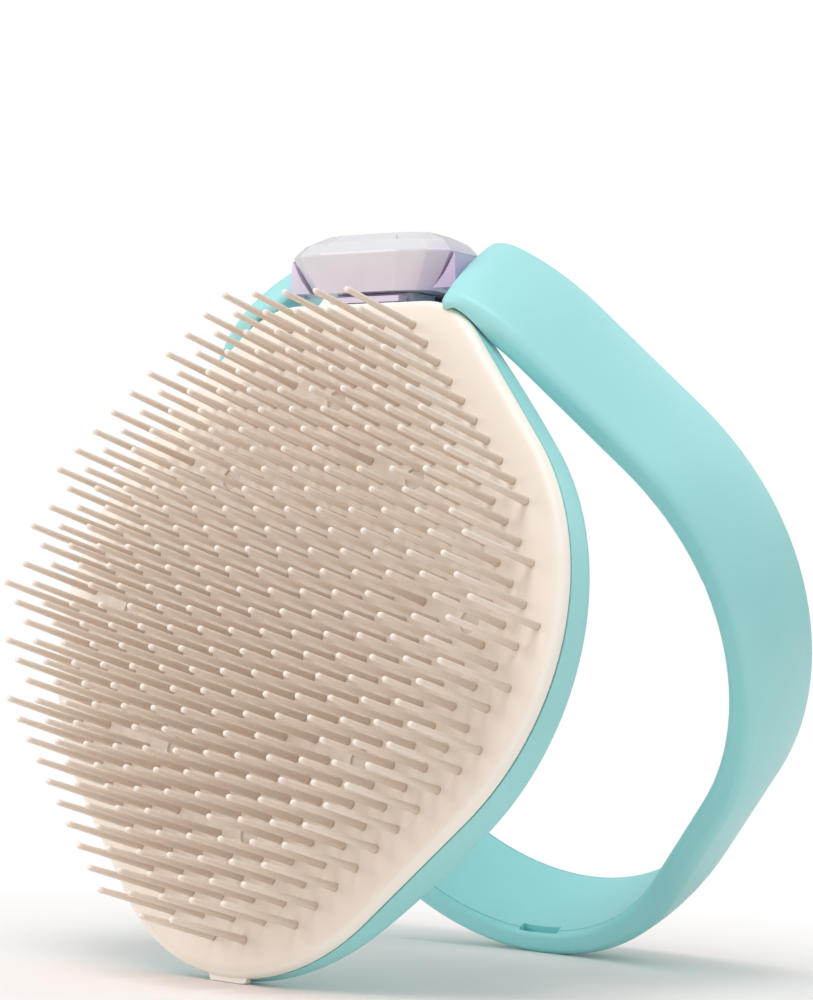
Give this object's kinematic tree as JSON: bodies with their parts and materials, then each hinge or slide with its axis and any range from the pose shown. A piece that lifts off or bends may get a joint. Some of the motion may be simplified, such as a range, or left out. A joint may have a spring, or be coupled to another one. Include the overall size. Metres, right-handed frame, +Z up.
{
  "type": "led_light_styling_brush",
  "caption": "Styling brush with light windows among its bristles and a folding hoop handle that carries a faceted gem button",
  "frame": {"origin": "bottom centre of the bounding box, standing with the hoop opened out behind the head", "axes": "+X across the head to the right as seen from the front, -Y towards the front (the bristles), +Z up"},
  "size_m": [0.1028, 0.0985, 0.1019],
  "materials": {
    "cream_plastic": "satin moulded plastic",
    "bristle_plastic": "smooth nylon",
    "turquoise_plastic": "soft gloss moulded plastic",
    "lilac_plastic": "pearly moulded plastic",
    "gem_plastic": "polished milky crystal-cut plastic",
    "clear_lens": "clear polished lens",
    "white_plastic": "plain moulded plastic",
    "board_green": "solder resist",
    "chip_black": "moulded chip package",
    "cell_foil": "laminated foil",
    "foam_tape": "foam",
    "lead_cover": "flexible insulation",
    "seal_rubber": "matt soft rubber",
    "pin_steel": "bright drawn steel",
    "contact_gold": "gold-plated"
  },
  "bodies": {
    "head": {"bristle_plate": "cream_plastic", "bristles": "bristle_plastic", "led_windows": "clear_lens", "light_tubes": "white_plastic", "leds": "white_plastic", "led_board": "board_green", "board_chips": "chip_black", "battery_tape": "foam_tape", "battery": "cell_foil", "battery_leads": "lead_cover", "plate_seal": "seal_rubber", "rear_shell": "turquoise_plastic", "case_screws": "pin_steel", "screw_plugs": "turquoise_plastic", "charge_contacts": "contact_gold", "hinge_pin": "pin_steel", "hinge_washers": "white_plastic"},
    "hoop": {"hoop_shell": "turquoise_plastic", "hoop_liner": "turquoise_plastic", "gem_seat": "lilac_plastic", "switch_board": "board_green", "tact_switch": "chip_black", "gem_lights": "white_plastic", "button_pads": "seal_rubber"},
    "gem": {"gem_button": "gem_plastic", "gem_carrier": "white_plastic", "switch_stem": "white_plastic"}
  },
  "joints": [
    {"name": "hoop_hinge", "type": "hinge", "parent": "head", "child": "hoop", "pos_m": [0, -0.0048, 0.09059], "axis": [1, 0, 0], "range_deg": [-41.9, 0]},
    {"name": "gem_press", "type": "slide", "parent": "hoop", "child": "gem", "axis": [0, 0, -1], "range_m": [0, 0.0005], "stiffness_N_per_m": 1500, "springref_m": -0.0005, "deforming": ["button_pads"]}
  ]
}
